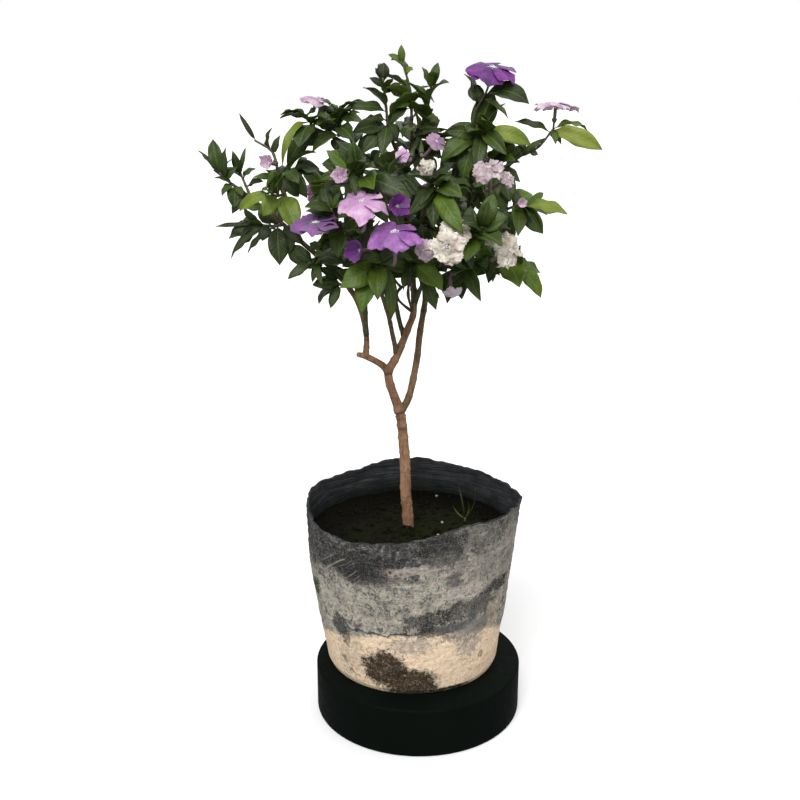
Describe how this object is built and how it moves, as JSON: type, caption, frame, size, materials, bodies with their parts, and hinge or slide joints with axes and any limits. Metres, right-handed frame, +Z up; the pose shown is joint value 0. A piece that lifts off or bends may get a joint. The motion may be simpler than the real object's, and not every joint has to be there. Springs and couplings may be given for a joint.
{
  "type": "potted flowering shrub",
  "caption": "Small flowering shrub trained as a tree, with glossy waved leaves and purple to white blooms, in a weathered grow bag of soil on a round black stand.",
  "frame": {"origin": "middle of the stand's flat underside", "axes": "+Z up; +X to the right and -Y towards the viewer in the front view"},
  "size_m": [0.311, 0.2522, 0.565],
  "materials": {
    "stand": "black satin lacquer",
    "bag": "weathered, matt",
    "soil": "rough, matt",
    "bark": "smooth bark, matt",
    "weed": "satin",
    "leaf": "glossy",
    "petal_purple": "soft, matt",
    "petal_violet": "soft, matt",
    "petal_lilac": "soft, matt",
    "petal_pale": "soft, matt",
    "petal_fading": "soft, matt",
    "petal_white": "soft, matt"
  },
  "bodies": {
    "root": {"stand": "stand", "grow_bag": "bag", "soil": "soil", "weed": "weed", "wood": "bark", "bloom_top_purple": "petal_purple", "bloom_right_pale": "petal_pale", "bloom_upper_left": "petal_pale", "bloom_right_white": "petal_fading", "bloom_centre_pink": "petal_lilac", "bloom_half_open": "petal_purple", "bloom_centre_lilac": "petal_violet", "bloom_left_side": "petal_purple", "bloom_white_front": "petal_white", "bloom_white_upper": "petal_white", "bloom_white_drooping": "petal_white", "bloom_white_hanging": "petal_white", "bloom_small_left": "petal_pale", "bloom_far_left": "petal_pale", "bloom_behind_lilac": "petal_lilac", "bloom_bud_right": "petal_pale", "bloom_low_right": "petal_violet", "bloom_under_lilac": "petal_fading", "bloom_low_purple": "petal_purple", "bloom_back_violet": "petal_violet", "bloom_back_pale": "petal_lilac", "bloom_back_white": "petal_white", "shoot_far_left": "leaf", "shoot_left_tall": "leaf", "shoot_wisp": "leaf", "shoot_bright_left": "leaf", "shoot_left_dark": "leaf", "shoot_left_low": "leaf", "shoot_low_left": "leaf", "shoot_front_low": "leaf", "shoot_upper_left": "leaf", "shoot_upper_mid": "leaf", "shoot_left_inner": "leaf", "shoot_mid_left": "leaf", "shoot_centre_left": "leaf", "shoot_centre": "leaf", "shoot_centre_low": "leaf", "shoot_low_right_a": "leaf", "shoot_low_right_b": "leaf", "shoot_mid_right_front": "leaf", "shoot_right_mid": "leaf", "shoot_right_upper": "leaf", "shoot_f2_stalk": "leaf", "shoot_right_arc": "leaf", "shoot_f1_stalk": "leaf", "shoot_top_centre": "leaf", "shoot_top_left": "leaf", "shoot_top_right": "leaf", "shoot_back_left_a": "leaf", "shoot_back_left_b": "leaf", "shoot_back_a": "leaf", "shoot_back_b": "leaf", "shoot_back_right_a": "leaf", "shoot_back_right_b": "leaf", "shoot_back_top": "leaf"}
  },
  "joints": []
}
